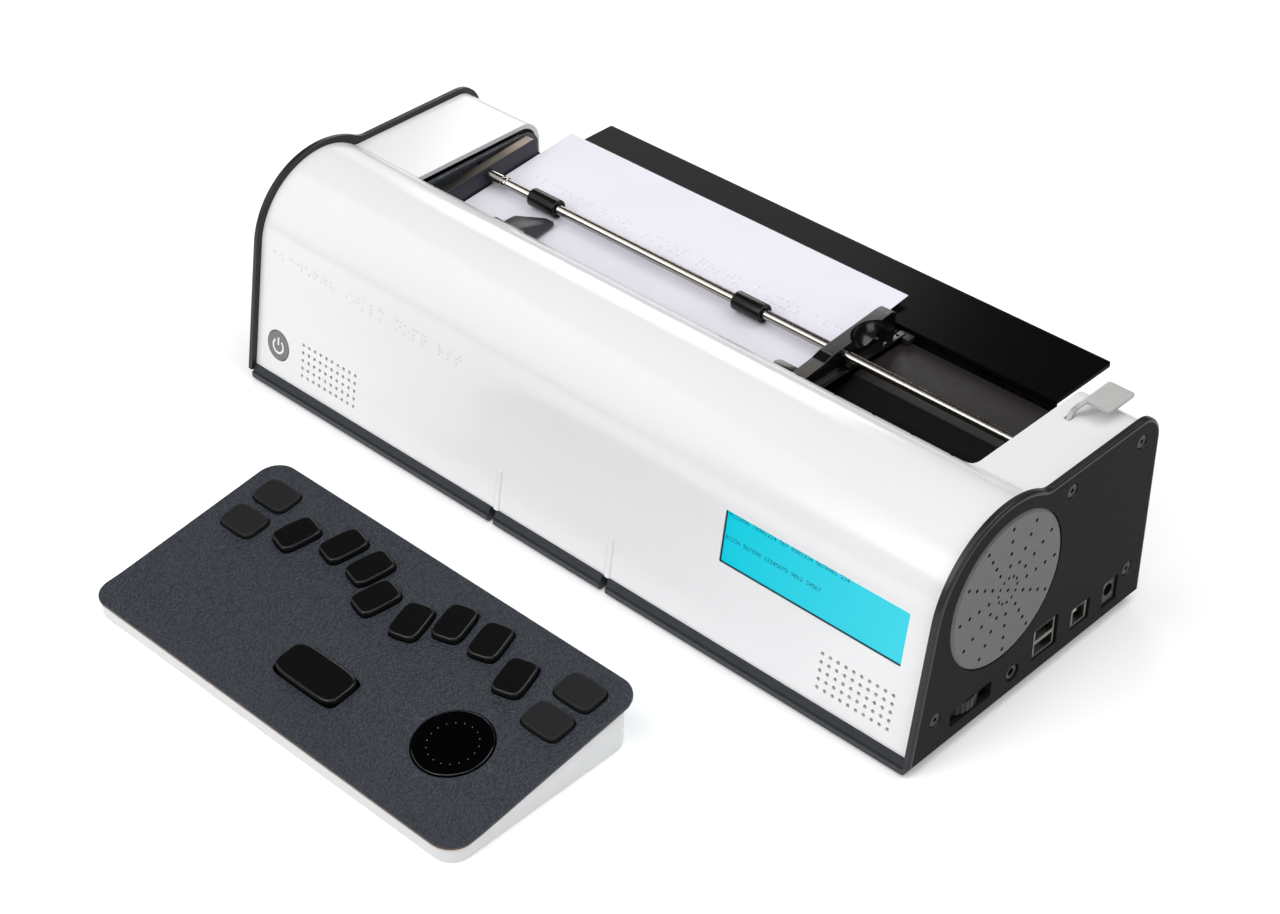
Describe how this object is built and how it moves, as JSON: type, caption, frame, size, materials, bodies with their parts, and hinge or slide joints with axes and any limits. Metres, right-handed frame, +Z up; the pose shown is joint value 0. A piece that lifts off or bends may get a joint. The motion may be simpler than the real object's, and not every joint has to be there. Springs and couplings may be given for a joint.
{
  "type": "braille writer",
  "caption": "Desktop braille embosser with a loaded sheet, adjustable paper guide, display and side ports, plus a separate sloping chord keyboard with a navigation disc.",
  "frame": {"origin": "centre of the overall box at floor level", "axes": "+X along the machine to the operator's right, +Y from the keyboard to the back of the machine, +Z up"},
  "size_m": [0.4368, 0.3712, 0.1157],
  "materials": {
    "cover_white": "glossy white moulding",
    "plate_black": "fine textured charcoal",
    "base_black": "satin charcoal",
    "disc_grey": "satin mid grey",
    "lcd_cyan": "backlit cyan display",
    "board_green": "printed circuit board",
    "speaker_black": "satin black",
    "connector_metal": "plated steel",
    "connector_black": "black moulding",
    "pot_grey": "zinc",
    "wheel_black": "ribbed black",
    "battery_blue": "shrink wrapped cells",
    "rubber_black": "black rubber",
    "screw_black": "blackened steel",
    "frame_steel": "zinc plated sheet",
    "bed_black": "satin black",
    "guide_black": "glossy black",
    "shelf_black": "satin black sheet",
    "rod_steel": "polished steel",
    "motor_dark": "black motor can",
    "sheet_white": "uncoated embossing paper",
    "lever_grey": "satin grey",
    "power_grey": "satin grey",
    "kb_white": "glossy white moulding",
    "kb_slate": "leather grained slate grey",
    "dome_grey": "silicone rubber",
    "key_gloss": "smooth black",
    "key_matte": "soft touch dark grey",
    "nav_gloss": "mirror gloss black"
  },
  "bodies": {
    "chassis": {"base_tray": "base_black", "top_cover": "cover_white", "end_plate_left": "plate_black", "end_plate_right": "plate_black", "speaker_disc": "disc_grey", "lcd_panel": "lcd_cyan", "lcd_board": "board_green", "speaker_left": "speaker_black", "speaker_right": "speaker_black", "main_board": "board_green", "usb_a_port": "connector_metal", "usb_b_port": "connector_metal", "dc_inlet": "connector_black", "audio_jack": "connector_black", "volume_pot": "pot_grey", "battery_pack": "battery_blue", "rubber_feet": "rubber_black", "plate_screws": "screw_black", "frame_left": "frame_steel", "frame_right": "frame_steel", "paper_bed": "bed_black", "paper_guide_left": "guide_black", "paper_shelf": "shelf_black", "bail_rod": "rod_steel", "rail_front": "rod_steel", "rail_rear": "rod_steel", "feed_motor": "motor_dark", "carriage_motor": "motor_dark"},
    "head": {"embossing_head": "guide_black"},
    "right_guide": {"paper_guide_right": "guide_black"},
    "lever": {"release_lever": "lever_grey"},
    "feed_roller": {"feed_shaft": "rod_steel", "feed_tyres": "rubber_black"},
    "bail_left": {"bail_roller_left": "rubber_black"},
    "bail_right": {"bail_roller_right": "rubber_black"},
    "sheet": {"paper_sheet": "sheet_white"},
    "power": {"power_button": "power_grey"},
    "volume": {"volume_wheel": "wheel_black"},
    "keyboard": {"kb_base": "kb_white", "kb_top": "kb_slate", "kb_board": "board_green", "kb_domes": "dome_grey", "kb_feet": "rubber_black", "nav_cradle": "connector_black"},
    "gimbal": {"nav_gimbal": "dome_grey"},
    "nav": {"nav_disc": "nav_gloss"},
    "key_dot_1": {"key_dot_1": "key_gloss"},
    "key_dot_2": {"key_dot_2": "key_gloss"},
    "key_dot_3": {"key_dot_3": "key_gloss"},
    "key_dot_4": {"key_dot_4": "key_gloss"},
    "key_dot_5": {"key_dot_5": "key_gloss"},
    "key_dot_6": {"key_dot_6": "key_gloss"},
    "key_dot_7": {"key_dot_7": "key_gloss"},
    "key_dot_8": {"key_dot_8": "key_gloss"},
    "key_func_1": {"key_func_1": "key_matte"},
    "key_func_2": {"key_func_2": "key_matte"},
    "key_func_3": {"key_func_3": "key_matte"},
    "key_func_4": {"key_func_4": "key_matte"},
    "key_space": {"key_space": "key_gloss"}
  },
  "joints": [
    {"name": "head_travel", "type": "slide", "parent": "chassis", "child": "head", "axis": [1, 0, 0], "range_m": [-0.028, 0.145]},
    {"name": "guide_slide", "type": "slide", "parent": "chassis", "child": "right_guide", "axis": [1, 0, 0], "range_m": [0, 0.085]},
    {"name": "lever_turn", "type": "hinge", "parent": "chassis", "child": "lever", "pos_m": [0.19095, 0.12953, 0.0965], "axis": [1, 0, 0], "range_deg": [0, 12]},
    {"name": "feed_turn", "type": "hinge", "parent": "chassis", "child": "feed_roller", "pos_m": [-0.00025, 0.10303, 0.079], "axis": [1, 0, 0], "range_deg": [-191.2, 127.6]},
    {"name": "bail_left_turn", "type": "hinge", "parent": "chassis", "child": "bail_left", "pos_m": [-0.11675, 0.10303, 0.094], "axis": [1, 0, 0], "range_deg": [-239.2, 358.6]},
    {"name": "bail_right_turn", "type": "hinge", "parent": "chassis", "child": "bail_right", "pos_m": [0.01975, 0.10303, 0.094], "axis": [1, 0, 0], "range_deg": [-239.2, 358.6]},
    {"name": "sheet_feed", "type": "slide", "parent": "chassis", "child": "sheet", "axis": [0, 0.995, 0.0995], "range_m": [-0.02, 0.03]},
    {"name": "power_press", "type": "slide", "parent": "chassis", "child": "power", "axis": [0, -0.9859, 0.1676], "range_m": [-0.0008, 0], "stiffness_N_per_m": 600, "springref_m": 0.0008},
    {"name": "volume_turn", "type": "hinge", "parent": "chassis", "child": "volume", "pos_m": [0.20075, 0.02513, 0.017], "axis": [0, 0, 1], "range_deg": [-140, 140]},
    {"name": "keyboard_place", "type": "slide", "parent": "chassis", "child": "keyboard", "axis": [0, 1, 0], "range_m": [-0.04, 0.04]},
    {"name": "key_dot_1_press", "type": "slide", "parent": "keyboard", "child": "key_dot_1", "axis": [0, -0.1473, 0.9891], "range_m": [-0.002, 0], "stiffness_N_per_m": 250, "springref_m": 0.0012},
    {"name": "key_dot_2_press", "type": "slide", "parent": "keyboard", "child": "key_dot_2", "axis": [0, -0.1473, 0.9891], "range_m": [-0.002, 0], "stiffness_N_per_m": 250, "springref_m": 0.0012},
    {"name": "key_dot_3_press", "type": "slide", "parent": "keyboard", "child": "key_dot_3", "axis": [0, -0.1473, 0.9891], "range_m": [-0.002, 0], "stiffness_N_per_m": 250, "springref_m": 0.0012},
    {"name": "key_dot_4_press", "type": "slide", "parent": "keyboard", "child": "key_dot_4", "axis": [0, -0.1473, 0.9891], "range_m": [-0.002, 0], "stiffness_N_per_m": 250, "springref_m": 0.0012},
    {"name": "key_dot_5_press", "type": "slide", "parent": "keyboard", "child": "key_dot_5", "axis": [0, -0.1473, 0.9891], "range_m": [-0.002, 0], "stiffness_N_per_m": 250, "springref_m": 0.0012},
    {"name": "key_dot_6_press", "type": "slide", "parent": "keyboard", "child": "key_dot_6", "axis": [0, -0.1473, 0.9891], "range_m": [-0.002, 0], "stiffness_N_per_m": 250, "springref_m": 0.0012},
    {"name": "key_dot_7_press", "type": "slide", "parent": "keyboard", "child": "key_dot_7", "axis": [0, -0.1473, 0.9891], "range_m": [-0.002, 0], "stiffness_N_per_m": 250, "springref_m": 0.0012},
    {"name": "key_dot_8_press", "type": "slide", "parent": "keyboard", "child": "key_dot_8", "axis": [0, -0.1473, 0.9891], "range_m": [-0.002, 0], "stiffness_N_per_m": 250, "springref_m": 0.0012},
    {"name": "key_func_1_press", "type": "slide", "parent": "keyboard", "child": "key_func_1", "axis": [0, -0.1473, 0.9891], "range_m": [-0.002, 0], "stiffness_N_per_m": 250, "springref_m": 0.0012},
    {"name": "key_func_2_press", "type": "slide", "parent": "keyboard", "child": "key_func_2", "axis": [0, -0.1473, 0.9891], "range_m": [-0.002, 0], "stiffness_N_per_m": 250, "springref_m": 0.0012},
    {"name": "key_func_3_press", "type": "slide", "parent": "keyboard", "child": "key_func_3", "axis": [0, -0.1473, 0.9891], "range_m": [-0.002, 0], "stiffness_N_per_m": 250, "springref_m": 0.0012},
    {"name": "key_func_4_press", "type": "slide", "parent": "keyboard", "child": "key_func_4", "axis": [0, -0.1473, 0.9891], "range_m": [-0.002, 0], "stiffness_N_per_m": 250, "springref_m": 0.0012},
    {"name": "key_space_press", "type": "slide", "parent": "keyboard", "child": "key_space", "axis": [0, -0.1473, 0.9891], "range_m": [-0.002, 0], "stiffness_N_per_m": 250, "springref_m": 0.0012},
    {"name": "nav_tilt_fore_aft", "type": "hinge", "parent": "keyboard", "child": "gimbal", "pos_m": [0.07325, -0.14172, 0.01008], "axis": [1, 0, 0], "range_deg": [-4, 4], "stiffness_Nm_per_rad": 0.4},
    {"name": "nav_tilt_side", "type": "hinge", "parent": "gimbal", "child": "nav", "pos_m": [0.07325, -0.14172, 0.01008], "axis": [0, 0.9891, 0.1473], "range_deg": [-4, 4], "stiffness_Nm_per_rad": 0.4}
  ],
  "couplings": [
    {"joint": "feed_turn", "follows": "sheet_feed", "rad_per_m": -111.11},
    {"joint": "bail_left_turn", "follows": "sheet_feed", "rad_per_m": 208.33},
    {"joint": "bail_right_turn", "follows": "sheet_feed", "rad_per_m": 208.33}
  ]
}
